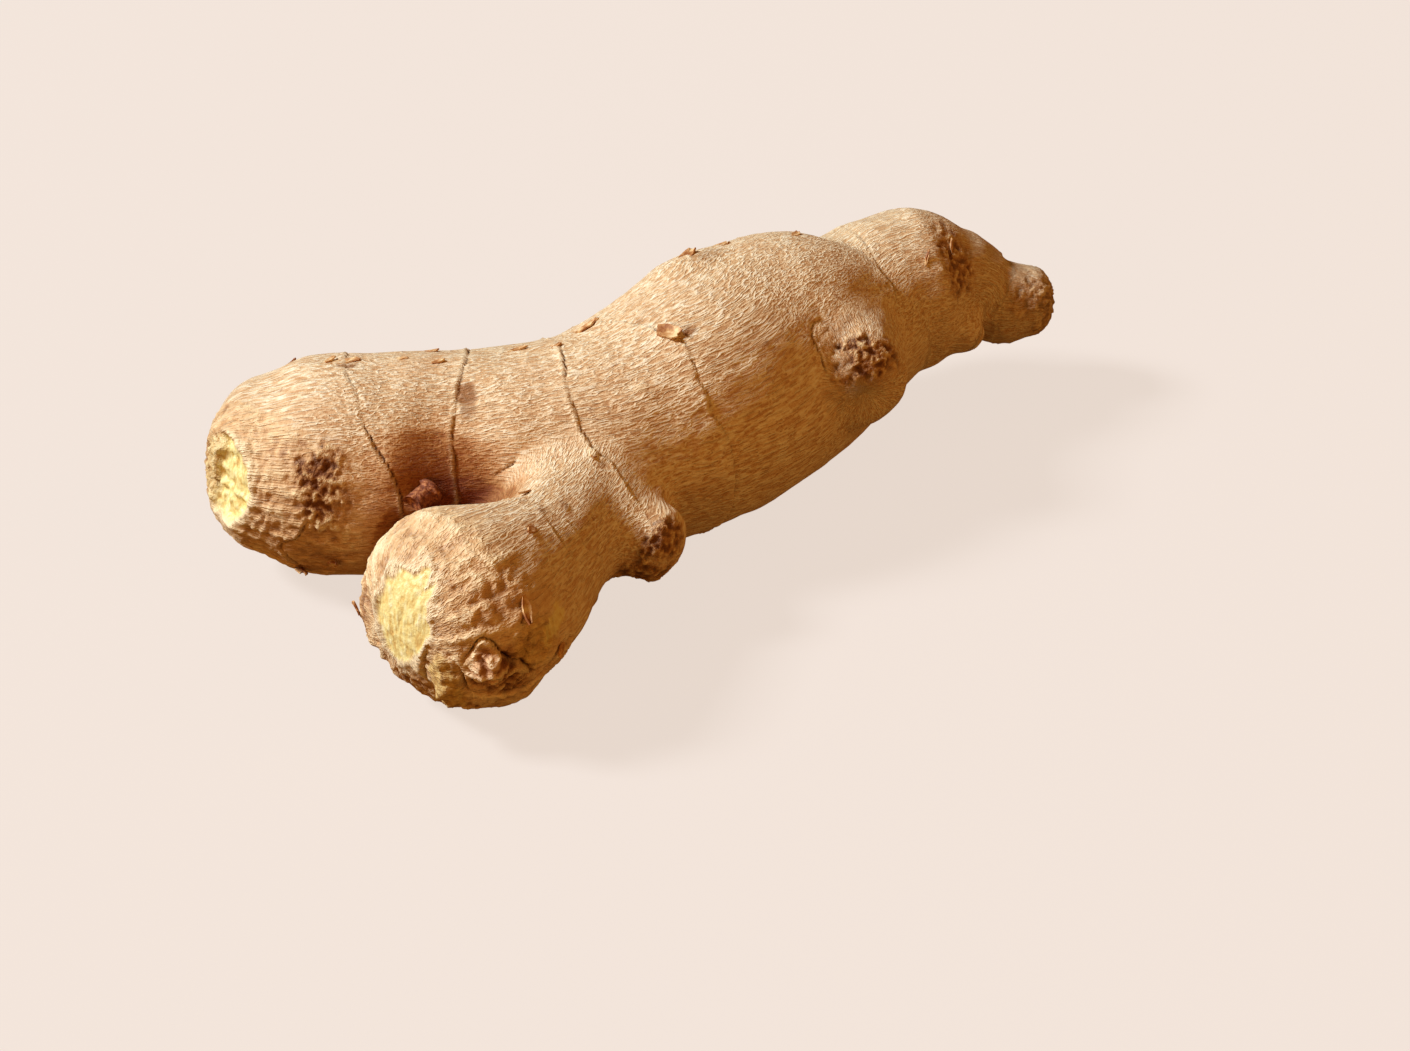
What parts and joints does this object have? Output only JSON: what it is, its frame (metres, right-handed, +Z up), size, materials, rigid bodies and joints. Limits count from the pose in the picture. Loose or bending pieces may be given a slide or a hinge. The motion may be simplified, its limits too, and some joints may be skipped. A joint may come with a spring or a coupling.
{
  "type": "ginger root",
  "caption": "Fresh whole ginger root with a cut heel, a lobed main run, a thick side finger and small buds, lying on its flattened underside.",
  "frame": {"origin": "under the middle of the root's box, at the height of the surface it rests on", "axes": "+X along the main run from the cut heel to the tip, -Y towards the side finger, +Z up"},
  "size_m": [0.1856, 0.1058, 0.0498],
  "materials": {
    "skin": "matte, thin, finely wrinkled papery skin, tan to brown, with pale yellow flesh where it is cut or scraped"
  },
  "bodies": {
    "root": {"ginger_root": "skin"}
  },
  "joints": []
}
